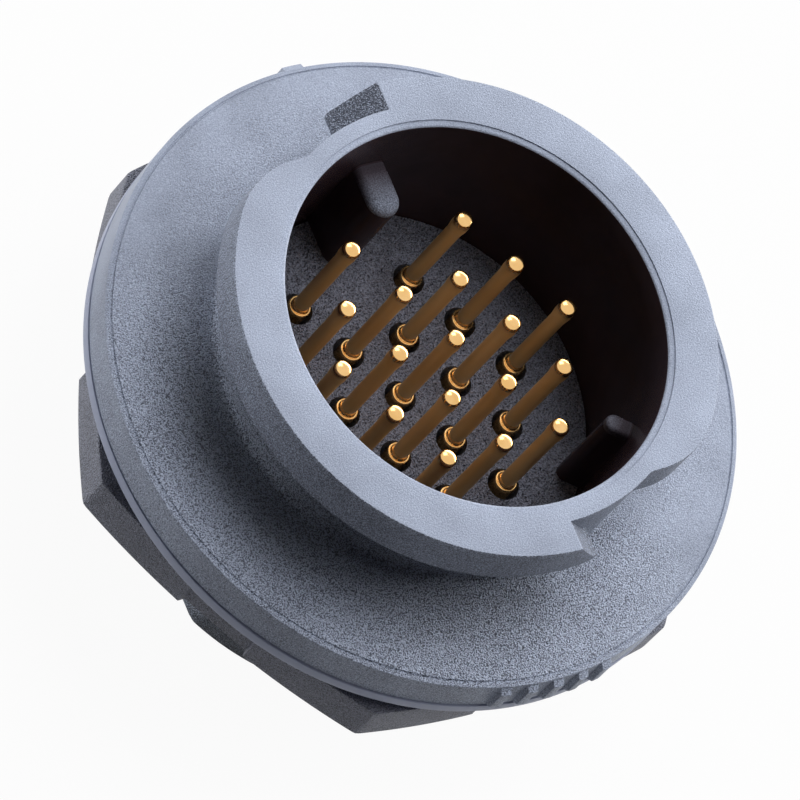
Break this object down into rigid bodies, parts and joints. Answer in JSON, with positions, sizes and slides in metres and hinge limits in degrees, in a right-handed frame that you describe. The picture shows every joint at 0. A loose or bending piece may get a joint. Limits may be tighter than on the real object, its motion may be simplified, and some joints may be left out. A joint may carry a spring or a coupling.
{
  "type": "circular connector",
  "caption": "Round panel-mount receptacle: keyed socket with gold pin contacts, bayonet collar, sealing flange and gasket, and a six-sided jam nut on the threaded rear barrel.",
  "frame": {"origin": "centre of the flange's rear face, the plane that faces the panel", "axes": "+Z along the connector's axis in the mating direction, out of the socket; +Y towards the main key rib and the index mark on the rim"},
  "size_m": [0.041, 0.0408, 0.0223],
  "materials": {
    "shell_plastic": "finely grained moulded blue-grey",
    "nut_plastic": "moulded charcoal",
    "insert_plastic": "moulded dark grey",
    "gasket_rubber": "smooth blue-grey",
    "seal_rubber": "smooth black",
    "spring_steel": "plain sprung steel",
    "contact_gold": "polished gold plating"
  },
  "bodies": {
    "connector": {"shell": "shell_plastic", "panel_gasket": "gasket_rubber", "pin_insert": "insert_plastic", "insert_seal": "seal_rubber", "contact_retainer": "insert_plastic", "retaining_ring": "spring_steel", "contact_01": "contact_gold", "contact_02": "contact_gold", "contact_03": "contact_gold", "contact_04": "contact_gold", "contact_05": "contact_gold", "contact_06": "contact_gold", "contact_07": "contact_gold", "contact_08": "contact_gold", "contact_09": "contact_gold", "contact_10": "contact_gold", "contact_11": "contact_gold", "contact_12": "contact_gold", "contact_13": "contact_gold", "contact_14": "contact_gold", "contact_15": "contact_gold", "contact_16": "contact_gold", "contact_17": "contact_gold", "contact_18": "contact_gold"},
    "nut": {"panel_nut": "nut_plastic"}
  },
  "joints": [
    {"name": "nut_travel", "type": "slide", "parent": "connector", "child": "nut", "axis": [0, 0, 1], "range_m": [-0.0053, 0.0007]}
  ]
}
